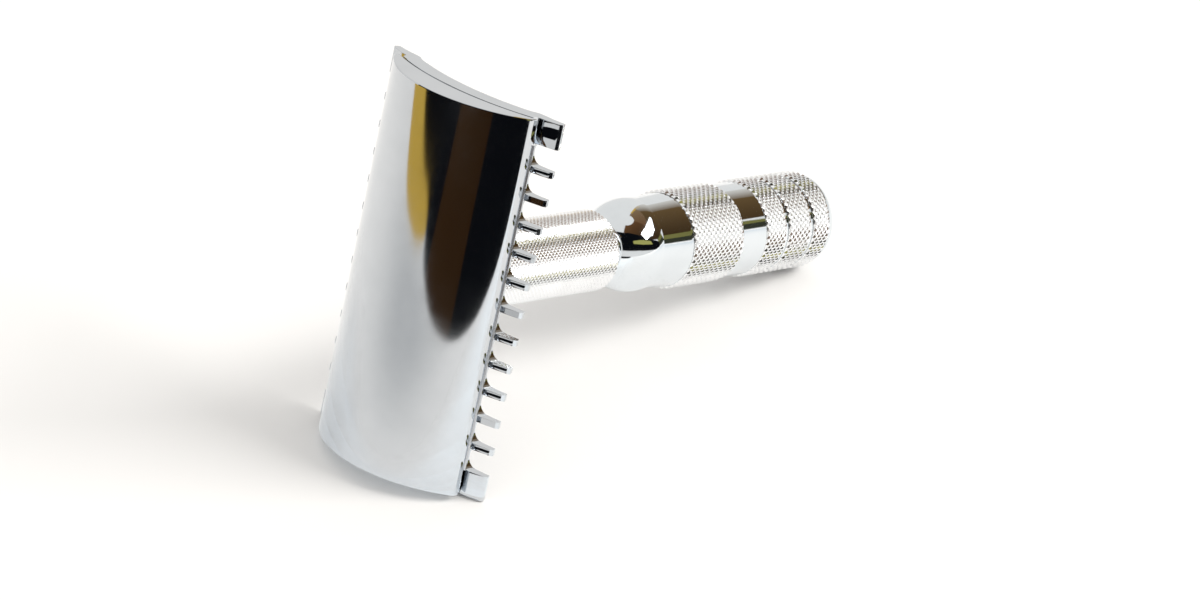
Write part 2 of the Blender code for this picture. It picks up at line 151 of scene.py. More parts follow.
# ---- Materials ----------------------------------------------------------------------------
class Nodes:
    """A short way to build a node tree."""

    def __init__(self, name):
        self.material = bpy.data.materials.new(name)
        self.material.use_nodes = True
        self.tree = self.material.node_tree
        self.shader = self.tree.nodes["Principled BSDF"]

    def add(self, kind, **values):
        node = self.tree.nodes.new(kind)
        for key, value in values.items():
            if key in node.inputs:
                node.inputs[key].default_value = value
            else:
                setattr(node, key, value)
        return node

    def link(self, source, target):
        self.tree.links.new(source, target)

    def coordinates(self, scale):
        """Object coordinates turned into the razor's own frame and scaled."""
        source = self.add("ShaderNodeTexCoord")
        mapping = self.add("ShaderNodeMapping", vector_type="TEXTURE")
        mapping.inputs["Rotation"].default_value = RAZOR.to_euler()
        mapping.inputs["Location"].default_value = RAZOR.translation
        stretch = self.add("ShaderNodeVectorMath", operation="MULTIPLY")
        stretch.inputs[1].default_value = scale
        self.link(source.outputs["Object"], mapping.inputs["Vector"])
        self.link(mapping.outputs["Vector"], stretch.inputs[0])
        return stretch.outputs["Vector"]

    def noise(self, coordinates, detail=3.0):
        node = self.add("ShaderNodeTexNoise", Scale=1.0, Detail=detail, Roughness=0.55)
        self.link(coordinates, node.inputs["Vector"])
        return node.outputs["Fac"]

    def ramp(self, source, low, high, out_low, out_high, interpolation="LINEAR"):
        node = self.add("ShaderNodeMapRange", interpolation_type=interpolation)
        for key, value in (("From Min", low), ("From Max", high), ("To Min", out_low), ("To Max", out_high)):
            node.inputs[key].default_value = value
        self.link(source, node.inputs["Value"])
        return node.outputs["Result"]

    def mix(self, factor, first, second):
        node = self.add("ShaderNodeMix", data_type="RGBA")
        node.inputs["A"].default_value = (*first, 1.0)
        node.inputs["B"].default_value = (*second, 1.0)
        self.link(factor, node.inputs["Factor"])
        return node.outputs["Result"]

    def bump(self, height, strength):
        node = self.add("ShaderNodeBump", Strength=strength, Distance=0.02 * MM)
        self.link(height, node.inputs["Height"])
        self.link(node.outputs["Normal"], self.shader.inputs["Normal"])


def metal(name, bright, dull, smooth, rough, grain, grain_bump):
    """Metal whose tone and roughness vary softly, with a fine polishing grain."""
    nodes = Nodes(name)
    nodes.shader.inputs["Metallic"].default_value = 1.0
    haze = nodes.noise(nodes.coordinates((260.0, 260.0, 260.0)))
    fine = nodes.noise(nodes.coordinates(grain), detail=2.0)
    tone = nodes.mix(nodes.ramp(haze, 0.35, 0.7, 0.0, 1.0), bright, dull)
    nodes.link(tone, nodes.shader.inputs["Base Color"])
    nodes.link(nodes.ramp(haze, 0.3, 0.75, smooth, rough), nodes.shader.inputs["Roughness"])
    nodes.bump(fine, grain_bump)
    return nodes.material


def make_materials():
    """Every metal by its use: two tones, two roughnesses, how fine its grain is along each axis, its bump."""
    along_x, around_z = (600, 14000, 600), (900, 900, 12000)
    return {
        "cap": metal(
            "polished_cap", (0.62, 0.645, 0.672), (0.59, 0.615, 0.642), 0.04, 0.06, (900, 9000, 900), 0.008
        ),
        "turned": metal(
            "polished_turned", (0.79, 0.83, 0.86), (0.75, 0.79, 0.82), 0.04, 0.08, (700, 700, 9000), 0.02
        ),
        "knurl": metal(
            "plated_knurl", (0.93, 0.94, 0.95), (0.86, 0.87, 0.88), 0.16, 0.26, (4000, 4000, 4000), 0.12
        ),
        "steel": metal("turned_steel", (0.5, 0.5, 0.51), (0.42, 0.42, 0.43), 0.25, 0.38, around_z, 0.2),
        "blade": metal("blade_strip", (0.6, 0.62, 0.65), (0.52, 0.54, 0.57), 0.12, 0.22, along_x, 0.12),
        "brass": metal("insert_brass", (0.62, 0.44, 0.16), (0.5, 0.34, 0.11), 0.22, 0.34, around_z, 0.2),
    }


# ---- Turned pieces ------------------------------------------------------------------------
def softened(profile, radius, corners):
    """The profile with the named corners cut by a small round.

    A guard point beyond each end of the round keeps the long faces beside it flat in shading.
    """
    points = []
    for index, (x, z) in enumerate(profile):
        if index not in corners:
            points.append((x, z))
            continue
        here = Vector((x, z))
        before = Vector(profile[index - 1]) - here
        after = Vector(profile[(index + 1) % len(profile)]) - here
        start = here + before.normalized() * radius
        end = here + after.normalized() * radius
        middle = (start + end) / 2 + (here - (start + end) / 2) * 0.42
        first_guard = here + before.normalized() * min(2 * radius, before.length / 2)
        last_guard = here + after.normalized() * min(2 * radius, after.length / 2)
        points += [tuple(first_guard), tuple(start), tuple(middle), tuple(end), tuple(last_guard)]
    return points


def lathe(name, profile, steps=ROUND_STEPS, pitch=MM):
    """A closed turned body from a closed (radius, z) profile. Points on the axis are shared.

    A point may carry a third value, the depth of a right-hand thread of this pitch at that height.
    """
    shape = bmesh.new()
    rings = []
    for radius, z, *thread in profile:
        if radius < 1e-7:
            rings.append([shape.verts.new((0.0, 0.0, z))] * steps)
            continue
        ring = []
        for i in range(steps):
            turn = math.tau * i / steps
            cut = thread[0] * abs(2 * ((z / pitch - i / steps) % 1.0) - 1) if thread else 0.0
            reach = radius - cut
            ring.append(shape.verts.new((reach * math.cos(turn), reach * math.sin(turn), z)))
        rings.append(ring)
    for first, second in zip(rings, rings[1:] + rings[:1]):
        for i in range(steps):
            corners = [first[i], first[(i + 1) % steps], second[(i + 1) % steps], second[i]]
            unique = list(dict.fromkeys(corners))
            if len(unique) > 2:
                shape.faces.new(unique)
    return finish_shape(shape, name)


def sleeve(name, outer, bore, top, bottom, edge):
    """A plain turned ring with its two outer corners softened."""
    profile = [(outer, top), (outer, bottom), (bore, bottom), (bore, top)]
    return lathe(name, softened(profile, edge, (0, 1)))


def arc(centre, radius, start_deg, end_deg, steps):
    """Points along an arc, both ends included."""
    turn = [math.radians(start_deg + (end_deg - start_deg) * i / steps) for i in range(steps + 1)]
    return [(centre[0] + radius * math.cos(t), centre[1] + radius * math.sin(t)) for t in turn]


def circle(centre, radius, steps=24):
    return arc(centre, radius, 0, 360 - 360 / steps, steps - 1)


# ---- Knurling -----------------------------------------------------------------------------
def knurled(name, node, pitch, depth, edge, extent=None):
    """A sleeve cut by two crossing helical grooves, which leaves a lattice of flat-topped diamonds.

    The rows are spaced so that both ends fall on a row, which cuts the diamonds there in half
    and gives the sleeve its toothed rims.
    """
    top, bottom, outer, bore = extent or span(node)
    chance = random.Random(name)
    around = round(math.tau * outer / pitch)
    rows = 2 * round((top - bottom) / pitch)
    step = (top - bottom) / rows
    half_turn = math.pi / around
    shape = bmesh.new()

    def corner(angle_index, z, height):
        angle = angle_index * half_turn
        near_end = min(top - z, z - bottom)
        wear = depth * KNURL_WEAR * chance.random()
        radius = min(outer - max(0.0, edge - near_end), outer - depth * (1 - height) - wear)
        return shape.verts.new((radius * math.cos(angle), radius * math.sin(angle), z))

    pits = {}
    for row in range(rows + 1):
        for i in range(around):
            pits[row, (2 * i + row) % (2 * around)] = corner(2 * i + row, bottom + row * step, 0.0)
    low_rim, high_rim = [], []
    for row in range(rows + 1):
        z = bottom + row * step
        for i in range(around):
            middle = 2 * i + row + 1
            left = pits[row, (middle - 1) % (2 * around)]
            right = pits[row, (middle + 1) % (2 * around)]
            left_in = corner(middle - KNURL_FLAT, z, 1.0)
            right_in = corner(middle + KNURL_FLAT, z, 1.0)
            flat = [left_in]
            if row > 0:
                below = pits[row - 1, middle % (2 * around)]
                below_in = corner(middle, z - KNURL_FLAT * step, 1.0)
                shape.faces.new((left, below, below_in, left_in))
                shape.faces.new((below, right, right_in, below_in))
                flat.append(below_in)
            flat.append(right_in)
            if row < rows:
                above = pits[row + 1, middle % (2 * around)]
                above_in = corner(middle, z + KNURL_FLAT * step, 1.0)
                shape.faces.new((right, above, above_in, right_in))
                shape.faces.new((above, left, left_in, above_in))
                flat.append(above_in)
            shape.faces.new(flat)
            if row == 0:
                low_rim += [left, left_in, right_in]
            if row == rows:
                high_rim += [left, left_in, right_in]
    inner_low = [inward(shape, v, bore) for v in low_rim]
    inner_high = [inward(shape, v, bore) for v in high_rim]
    close_ring(shape, low_rim, inner_low)
    close_ring(shape, inner_high, high_rim)
    close_ring(shape, inner_low, inner_high)
    return finish_shape(shape, name, smooth=False)


def inward(shape, vertex, radius):
    """A new corner at the same height, straight in from this one."""
    flat = Vector((vertex.co.x, vertex.co.y)).normalized() * radius
    return shape.verts.new((flat.x, flat.y, vertex.co.z))


def close_ring(shape, first, second):
    """Quads between two rings with the same number of corners."""
    count = len(first)
    for i in range(count):
        j = (i + 1) % count
        shape.faces.new((first[i], first[j], second[j], second[i]))


# ---- Threads ------------------------------------------------------------------------------
def thread_rows(radius, top, bottom, pitch, lead_in):
    """Profile points down a threaded length that fades in at the top and tapers at the bottom."""
    rows_per_turn, depth_per_pitch = 8, 0.6
    count = round((top - bottom) / pitch * rows_per_turn)
    rows = []
    for index in range(count + 1):
        z = top + (bottom - top) * index / count
        taper = max(0.0, lead_in - (z - bottom))
        depth = max(0.0, depth_per_pitch * pitch * min(1.0, (top - z) / pitch) - taper)
        rows.append((radius - taper, z, depth))
    return rows


# ---- Flat plates bent across X --------------------------------------------------------------
def plan_mesh(outlines):
    """A flat mesh filling the first outline, less the others, all (x, y)."""
    curve = bpy.data.curves.new("plan", "CURVE")
    curve.dimensions = "2D"
    curve.fill_mode = "BOTH"
    for outline in outlines:
        spline = curve.splines.new("POLY")
        spline.points.add(len(outline) - 1)
        for point, (x, y) in zip(spline.points, outline):
            point.co = (x, y, 0.0, 1.0)
        spline.use_cyclic_u = True
    helper = bpy.data.objects.new("plan", curve)
    bpy.context.scene.collection.objects.link(helper)
    bpy.context.view_layer.update()
    mesh = bpy.data.meshes.new_from_object(helper.evaluated_get(bpy.context.evaluated_depsgraph_get()))
    bpy.data.objects.remove(helper)
    return mesh


def bent_plate(name, outlines, upper, lower, cuts, bevel):
    """A plate with this plan, whose top and underside heights are functions of x.

    A row of faces is cut off close to each end, so the rounded edge bends no light further in.
    """
    shape = bmesh.new()
    shape.from_mesh(plan_mesh(outlines))
    bmesh.ops.remove_doubles(shape, verts=shape.verts, dist=1e-7)
    end = max(v.co.y for v in shape.verts) - 2 * bevel
    planes = [((x, 0, 0), (1, 0, 0)) for x in cuts] + [((0, y, 0), (0, 1, 0)) for y in (-end, end)]
    for point, across in planes:
        everything = shape.verts[:] + shape.edges[:] + shape.faces[:]
        bmesh.ops.bisect_plane(shape, geom=everything, dist=1e-7, plane_co=point, plane_no=across)
    bmesh.ops.recalc_face_normals(shape, faces=shape.faces)
    if sum(face.normal.z for face in shape.faces) < 0:
        bmesh.ops.reverse_faces(shape, faces=shape.faces)
    rim = [edge for edge in shape.edges if edge.is_boundary]
    twins = {v: shape.verts.new(v.co) for v in shape.verts[:]}
    for face in shape.faces[:]:
        shape.faces.new([twins[v] for v in reversed(face.verts)])
    for edge in rim:
        a, b = edge.verts
        face = edge.link_faces[0]
        loop = next(item for item in face.loops if item.edge == edge)
        if loop.vert != a:
            a, b = b, a
        shape.faces.new((b, a, twins[a], twins[b]))
    for v, twin in twins.items():
        v.co.z = upper(v.co.x)
        twin.co.z = lower(twin.co.x)
    mesh = finish_shape(shape, name, smooth=False)
    return soften_edges(mesh, name, bevel)


def soften_edges(mesh, name, width):
    """The mesh with its sharp edges bevelled. Only the gentle bends are shaded smooth."""
    helper = bpy.data.objects.new(name + "_helper", mesh)
    bpy.context.scene.collection.objects.link(helper)
    bevel = helper.modifiers.new("Edges", "BEVEL")
    bevel.width = width
    bevel.segments = 2
    bevel.limit_method = "ANGLE"
    bevel.angle_limit = math.radians(38)
    bevel.use_clamp_overlap = True
    bpy.context.view_layer.update()
    result = bpy.data.meshes.new_from_object(helper.evaluated_get(bpy.context.evaluated_depsgraph_get()))
    bpy.data.objects.remove(helper)
    result.name = name
    result.shade_smooth()
    result.set_sharp_from_angle(angle=FLAT_ANGLE)
    return result


def crown_height(x, apex, radius):
    """Height at x of an arc whose highest point is at this apex."""
    return apex - radius + math.sqrt(radius**2 - x**2)


def steps_between(low, high, count):
    """The places that cut a length into this many equal steps, ends left out."""
    return [low + (high - low) * i / count for i in range(1, count)]


# ---- The head -----------------------------------------------------------------------------
def head_sizes():
    """Sizes read from the CAD's cap, blade and comb plate."""
    cap, blade, comb = own_points("cap"), own_points("blade"), own_points("comb_plate")
    teeth = comb[np.abs(comb[:, 0]) > LAND + 0.3 * MM]
    half_width = cap[:, 0].max()
    half_length = cap[:, 1].max()
    apex = cap[:, 2].max()
    edge_top = cap[cap[:, 0] > half_width - 1e-5][:, 2].max()
    return {
        "half_width": half_width,
        "half_length": half_length,
        "apex": apex,
        "edge_top": edge_top,
        "blade_half_width": blade[:, 0].max(),
        "blade_half_length": blade[:, 1].max(),
        "blade_apex": blade[:, 2].max(),
        "comb_half_width": comb[:, 0].max(),
        "comb_bottom": teeth[:, 2].min(),
        "comb_apex": comb[:, 2].max(),
    }


HEAD = head_sizes()
CROWN_SAGITTA = HEAD["apex"] - HEAD["edge_top"]
CROWN_RADIUS = (HEAD["half_width"] ** 2 + CROWN_SAGITTA**2) / (2 * CROWN_SAGITTA)
UNDERSIDE_APEX = BEND_RADIUS - math.sqrt(BEND_RADIUS**2 - HEAD["half_width"] ** 2)


def make_cap(materials):
    """The polished plate over the blade, crowned above and bent like the blade below."""
    width, length = HEAD["half_width"], HEAD["half_length"]
    outline = [(width, -length), (width, length), (-width, length), (-width, -length)]
    mesh = bent_plate(
        "cap_shell",
        [outline],
        upper=lambda x: crown_height(x, HEAD["apex"], CROWN_RADIUS),
        lower=lambda x: crown_height(x, UNDERSIDE_APEX, BEND_RADIUS),
        cuts=steps_between(-width, width, 96),
        bevel=0.12 * MM,
    )
    place("cap_shell", mesh, "cap", materials["cap"], ["cap"])


def make_blade(materials):
    """The double-edge blade, with narrower tabs at both ends."""
    width, length = HEAD["blade_half_width"], HEAD["blade_half_length"]
    tab, edge = 6.3 * MM, 18.7 * MM
    outer = [
        (tab, -length), (tab, -edge), (width, -edge), (width, edge), (tab, edge), (tab, length),
        (-tab, length), (-tab, edge), (-width, edge), (-width, -edge), (-tab, -edge), (-tab, -length),
    ]
    apex = HEAD["blade_apex"]
    mesh = bent_plate(
        "blade_strip",
        [outer, blade_slot()],
        upper=lambda x: crown_height(x, apex, BEND_RADIUS),
        lower=lambda x: crown_height(x, apex - BLADE_THICKNESS, BEND_RADIUS - BLADE_THICKNESS),
        cuts=steps_between(-width, width, 40),
        bevel=0.02 * MM,
    )
    place("blade_strip", mesh, "blade", materials["blade"], ["blade"])


def blade_slot():
    """The slot along the blade, which widens at the stud and at both pins."""
    slot_half, stud_hole, pin_hole = 0.8 * MM, 2.95 * MM, 1.55 * MM
    spread = math.degrees(math.asin(slot_half / stud_hole))
    pin_spread = math.degrees(math.asin(slot_half / pin_hole))
    outline = arc((0, 0), stud_hole, -90 + spread, 90 - spread, 16)
    outline += arc((0, PIN_Y), pin_hole, -90 + pin_spread, 270 - pin_spread, 20)
    outline += arc((0, 0), stud_hole, 90 + spread, 270 - spread, 16)
    return outline + arc((0, -PIN_Y), pin_hole, 90 + pin_spread, 450 - pin_spread, 20)


def comb_outline():
    """The comb's plan: a rectangle with round-rooted slots along both sides."""
    width, length = HEAD["comb_half_width"], HEAD["half_length"]
    half = (TOOTH_PITCH - TOOTH_WIDTH) / 2
    centre = SLOT_ROOT + SLOT_FILLET
    side = [(width, -length)]
    for index in range(TEETH + 1):
        y = (index - TEETH / 2) * TOOTH_PITCH
        side += [(width, y - half)]
        side += arc((centre, y - half + SLOT_FILLET), SLOT_FILLET, 270, 180, 6)
        side += arc((centre, y + half - SLOT_FILLET), SLOT_FILLET, 180, 90, 6)
        side += [(width, y + half)]
    side += [(width, length)]
    return side + [(-x, -y) for x, y in side]


def comb_upper(x):
    """Height of the comb plate's upper face: the land, a step and the drooping teeth."""
    x = abs(x)
    if x <= LAND:
        return crown_height(x, HEAD["comb_apex"], LAND_BEND_RADIUS)
    points = [
        (LAND, crown_height(LAND, HEAD["comb_apex"], LAND_BEND_RADIUS)),
        (LAND + 0.15 * MM, -0.6 * MM),
        (LAND + 1.2 * MM, -0.75 * MM),
        (HEAD["comb_half_width"] - 0.15 * MM, HEAD["comb_bottom"] + 0.85 * MM),
        (HEAD["comb_half_width"], HEAD["comb_bottom"] + 0.6 * MM),
    ]
    return float(np.interp(x, [p[0] for p in points], [p[1] for p in points]))


def comb_lower(x):
    """Height of the comb plate's underside: the bent belly and the undersides of the teeth."""
    x = abs(x)
    apex = HEAD["comb_apex"] - COMB_THICKNESS
    belly_end = LAND - 1.4 * MM
    if x <= belly_end:
        return crown_height(x, apex, LAND_BEND_RADIUS)
    points = [
        (belly_end, crown_height(belly_end, apex, LAND_BEND_RADIUS)),
        (LAND - 0.7 * MM, -1.85 * MM),
        (LAND + 1.4 * MM, -1.95 * MM),
        (HEAD["comb_half_width"] - 0.25 * MM, HEAD["comb_bottom"]),
        (HEAD["comb_half_width"], HEAD["comb_bottom"] + 0.5 * MM),
    ]
    return float(np.interp(x, [p[0] for p in points], [p[1] for p in points]))


def make_comb(materials):
    """The toothed plate, and the round boss under it that takes the handle."""
    holes = [circle((0, 0), STUD_HOLE_RADIUS)]
    holes += [circle((0, y), PIN_HOLE_RADIUS) for y in (-PIN_Y, PIN_Y)]
    cuts = steps_between(-LAND, LAND, 48) + [-LAND, LAND]
    edge = steps_between(LAND, HEAD["comb_half_width"], 12)
    cuts += edge + [-x for x in edge]
    mesh = bent_plate("comb_guard", [comb_outline()] + holes, comb_upper, comb_lower, cuts, bevel=0.045 * MM)
    place("comb_guard", mesh, "comb", materials["cap"], ["comb_plate"])

    profile = [(BOSS_RADIUS, BOSS_TOP), (BOSS_RADIUS, BOSS_BOTTOM)]
    profile += [(STUD_HOLE_RADIUS, BOSS_BOTTOM), (STUD_HOLE_RADIUS, BOSS_TOP)]
    boss = lathe("comb_boss", softened(profile, 0.15 * MM, (1,)))
    place("comb_boss", boss, "comb", materials["turned"], [])


def make_pins_and_stud(materials):
    """The cap's threaded stud and its two plain pins with rounded tips."""
    top, bottom, outer, _ = span("cap_stud")
    profile = [(0.0, top), (outer, top)]
    profile += thread_rows(outer, STUD_THREAD_TOP, bottom, STUD_PITCH, 0.5 * MM) + [(0.0, bottom)]
    stud = lathe("stud_threaded", profile, steps=48, pitch=STUD_PITCH)
    place("stud_threaded", stud, "cap", materials["steel"], ["cap_stud"])

    for node in ("locating_pin_upper", "locating_pin_lower"):
        points = own_points(node)
        top, bottom, middle = points[:, 2].max(), points[:, 2].min(), points[:, 1].mean()
        radius = points[:, 0].max()
        profile = [(0.0, top), (radius, top), (radius, bottom), (0.0, bottom)]
        pin = lathe(node + "_turned", softened(profile, 0.28 * MM, (2,)), steps=48)
        pin.transform(Matrix.Translation((0.0, round(middle, 5), 0.0)))
        place(node + "_turned", pin, "cap", materials["steel"], [node])


# ---- The handle ---------------------------------------------------------------------------
def make_front_half(materials):
    """The waisted collar, the knurled neck, the bead and what they sit on."""
    top, bottom, outer, bore = span("neck_collar")
    chamfer, flange_end, waist_start = 0.35 * MM, top - 1.1 * MM, top - 2.0 * MM
    waist = outer - 0.75 * MM
    profile = [(outer - chamfer, top), (outer, top - chamfer), (outer, flange_end)]
    profile += [(waist, waist_start), (waist, bottom), (bore, bottom), (bore, top)]
    collar = lathe("collar_turned", softened(profile, 0.12 * MM, (0, 1, 2, 3)))
    place("collar_turned", collar, "front_half", materials["turned"], ["neck_collar"])

    knurl = knurled("neck_knurl", "neck_sleeve", NECK_KNURL_PITCH, NECK_KNURL_DEPTH, 0.2 * MM)
    place("neck_knurl", knurl, "front_half", materials["knurl"], ["neck_sleeve"])

    top, bottom, outer, bore = span("bead")
    collar_radius = bore + BEAD_COLLAR_WALL
    upper = math.degrees(math.acos(collar_radius / outer))
    lower = math.degrees(math.asin((bottom - BEAD_CENTRE) / outer))
    ball = arc((0.0, BEAD_CENTRE), outer, upper, lower, 48)
    profile = [(collar_radius, top)] + ball + [(bore, bottom), (bore, top)]
    bead = lathe("bead_polished", profile)
    place("bead_polished", bead, "front_half", materials["turned"], ["bead"])

    make_core(materials)


def make_core(materials):
    """The bar in the neck, with its threaded tail, and the brass nut in its socket."""
    top, bottom, outer, _ = span("front_core")
    seat = span("thread_insert")
    pocket, floor = seat[2] + PLAY, seat[1] - PLAY
    step, shoulder, relief = span("neck_sleeve")[1], span("shoulder_ring")[0], 0.5 * MM
    profile = [(outer, top), (outer, step), (TAIL_RADIUS, step), (TAIL_RADIUS, shoulder)]
    profile += [(TAIL_RADIUS - relief, shoulder - relief)]
    profile += thread_rows(TAIL_RADIUS, shoulder - 2 * relief, bottom, TAIL_PITCH, 0.4 * MM)
    profile += [(0.0, bottom), (0.0, floor), (pocket, floor), (pocket, top)]
    core = lathe("core_threaded", profile, steps=48, pitch=TAIL_PITCH)
    place("core_threaded", core, "front_half", materials["steel"], ["front_core"])

    top, bottom, outer, bore = seat
    profile = [(outer, top), (outer, bottom), (bore, bottom), (bore, top)]
    nut = lathe("insert_turned", softened(profile, 0.15 * MM, (0, 1, 2, 3)), steps=64)
    place("insert_turned", nut, "front_half", materials["brass"], ["thread_insert"])


def make_shoulder(materials):
    """The loose ring, which widens towards the grip."""
    top, bottom, outer, bore = span("shoulder_ring")
    rim = bottom + 0.3 * MM
    profile = [(SHOULDER_SMALL_RADIUS, top), (outer, rim), (outer, bottom), (bore, bottom), (bore, top)]
    ring = lathe("shoulder_polished", softened(profile, 0.08 * MM, (0, 1)))
    place("shoulder_polished", ring, "shoulder", materials["turned"], ["shoulder_ring"])


def make_rear_half(materials):
    """The grip's knurled sleeves and polished rings. The tube and plug inside keep their CAD shapes."""
    for node, name in (
        ("grip_sleeve", "grip_knurl"),
        ("rear_band_front", "band_knurl_front"),
        ("rear_band_middle", "band_knurl_middle"),
    ):
        mesh = knurled(name, node, GRIP_KNURL_PITCH, GRIP_KNURL_DEPTH, 0.25 * MM)
        place(name, mesh, "rear_half", materials["knurl"], [node])
    for node, name in (
        ("waist_ring", "waist_polished"),
        ("groove_ring_front", "groove_polished_front"),
        ("groove_ring_back", "groove_polished_back"),
    ):
        top, bottom, outer, bore = span(node)
        mesh = sleeve(name, outer, bore, top, bottom, 0.02 * MM)
        place(name, mesh, "rear_half", materials["turned"], [node])
    make_end_cap(materials)
    for node in ("rear_tube", "end_plug"):
        frame["nodes"][node].data.materials.clear()
        frame["nodes"][node].data.materials.append(materials["steel"])


def make_end_cap(materials):
    """The last knurled band and, closing it, the smooth rounded end of the handle."""
    top, bottom, outer, _ = span("end_cap")
    corners = own_points("end_cap")
    mouth = corners[corners[:, 2] > top - 1e-6]
    bore = np.hypot(mouth[:, 0], mouth[:, 1]).min()
    turn = bottom + END_ROUND
    extent = (top, turn, outer, bore)
    band = knurled("end_knurl", "end_cap", GRIP_KNURL_PITCH, GRIP_KNURL_DEPTH, 0.25 * MM, extent)
    place("end_knurl", band, "rear_half", materials["knurl"], ["end_cap"])

    gap, spigot_top = 0.01 * MM, turn + 1.1 * MM
    flat = outer - END_ROUND
    reach, drop = END_ROUND - GRIP_KNURL_DEPTH, END_ROUND - 2 * gap
    profile = [(0.0, spigot_top), (bore - gap, spigot_top), (bore - gap, turn)]
    profile += [(flat + reach * x, turn - gap - drop * y) for x, y in arc((0.0, 0.0), 1.0, 0, 90, 16)]
    profile += [(0.0, bottom + gap)]
    end = lathe("end_polished", profile)
    place("end_polished", end, "rear_half", materials["turned"], ["end_cap"])


# ---- Stage --------------------------------------------------------------------------------
def glow(name, colour):
    """Nodes of a card that gives light. A pair of colours runs from its low to its high side along X."""
    low_x, high_x = colour if isinstance(colour[0], tuple) else (colour, colour)
    nodes = Nodes(name)
    nodes.tree.nodes.remove(nodes.shader)
    nodes.shader = nodes.add("ShaderNodeEmission")
    split = nodes.add("ShaderNodeSeparateXYZ")
    nodes.link(nodes.add("ShaderNodeTexCoord").outputs["Generated"], split.inputs["Vector"])
    nodes.link(nodes.mix(split.outputs["X"], low_x, high_x), nodes.shader.inputs["Color"])
    nodes.link(nodes.shader.outputs["Emission"], nodes.tree.nodes["Material Output"].inputs["Surface"])
    return nodes


def reflector(name, corners, faces, material):
    """A studio card that only shows in reflections."""
    mesh = bpy.data.meshes.new(name)
    mesh.from_pydata(corners, [], faces)
    mesh.materials.append(material)
    card = bpy.data.objects.new(name, mesh)
    bpy.context.scene.collection.objects.link(card)
    card.visible_camera = False
    card.visible_diffuse = False
    card.visible_shadow = False
    card.visible_transmission = False
    card.visible_volume_scatter = False
    return card


def bearing(distance, azimuth, height=0.0):
    """The point at this distance and bearing, in degrees from +X."""
    angle = math.radians(azimuth)
    return (distance * math.cos(angle), distance * math.sin(angle), height)


def smooth_line(knots, step=2.0):
    """Points along a smooth line through the knots, all given as (bearing, distance)."""
    bearings, distances = np.array(knots, dtype=float).T
    slopes = np.gradient(distances, bearings)
    points = []
    for i in range(len(knots) - 1):
        gap = bearings[i + 1] - bearings[i]
        count = math.ceil(abs(gap) / step)
        for j in range(count):
            t = j / count
            first = (1 + 2 * t) * (1 - t) ** 2 * distances[i] + t * (1 - t) ** 2 * gap * slopes[i]
            last = t**2 * (3 - 2 * t) * distances[i + 1] + t**2 * (t - 1) * gap * slopes[i + 1]
            points.append((bearings[i] + gap * t, first + last))
    return points + [knots[-1]]


def table_card(name, near, far, colour, height):
    """A card lying on the table, between two lines given as (bearing, distance) points."""
    corners = [bearing(distance, azimuth, height) for azimuth, distance in near + far]
    count = len(near)
    faces = [(i, i + 1, count + i + 1, count + i) for i in range(count - 1)]
    reflector(name, corners, faces, glow(name, colour).material)


def sky_card(name, columns, colour, distance=1.5):
    """A card on a big sphere round the razor. Each column is a bearing, a low and a high elevation."""
    corners, faces = [], []
    rows = 8
    for azimuth, low, high in columns:
        for j in range(rows + 1):
            elevation = math.radians(low + (high - low) * j / rows)
            corners.append(bearing(distance * math.cos(elevation), azimuth, distance * math.sin(elevation)))
    for i in range(len(columns) - 1):
        for j in range(rows):
            corner = i * (rows + 1) + j
            faces.append((corner, corner + 1, corner + rows + 2, corner + rows + 1))
    reflector(name, corners, faces, glow(name, colour).material)


def level_card(name, azimuths, low, high, colour):
    """A sky card between two bearings at one height."""
    first, last = azimuths
    count = math.ceil((last - first) / 10)
    columns = [(first + (last - first) * i / count, low, high) for i in range(count + 1)]
    sky_card(name, columns, colour)


def soft_pool(name, centre, size, azimuth, colour):
    """A glow lying on the table that fades out towards its rim. It only shows in reflections, where it takes
    the place of the lit table: painted light where it is brighter, painted shade where it is darker.
    """
    nodes = glow(name, colour)
    scaled = nodes.add("ShaderNodeVectorMath", operation="MULTIPLY")
    scaled.inputs[1].default_value = (1 / size[0], 1 / size[1], 0.0)
    distance = nodes.add("ShaderNodeVectorMath", operation="LENGTH")
    nodes.link(nodes.add("ShaderNodeTexCoord").outputs["Object"], scaled.inputs[0])
    nodes.link(scaled.outputs["Vector"], distance.inputs[0])
    mix = nodes.add("ShaderNodeMixShader")
    nodes.link(nodes.ramp(distance.outputs["Value"], 0.08, 0.5, 0.95, 0.0, "SMOOTHSTEP"), mix.inputs[0])
    nodes.link(nodes.add("ShaderNodeBsdfTransparent").outputs["BSDF"], mix.inputs[1])
    nodes.link(nodes.shader.outputs["Emission"], mix.inputs[2])
    nodes.link(mix.outputs["Shader"], nodes.tree.nodes["Material Output"].inputs["Surface"])

    length, width = size[0] / 2, size[1] / 2
    corners = [(-length, -width, 0.0), (length, -width, 0.0), (length, width, 0.0), (-length, width, 0.0)]
    card = reflector(name, corners, [(0, 1, 2, 3)], nodes.material)
    card.location = (*centre, 0.0006)
    card.rotation_euler = (0.0, 0.0, math.radians(azimuth))


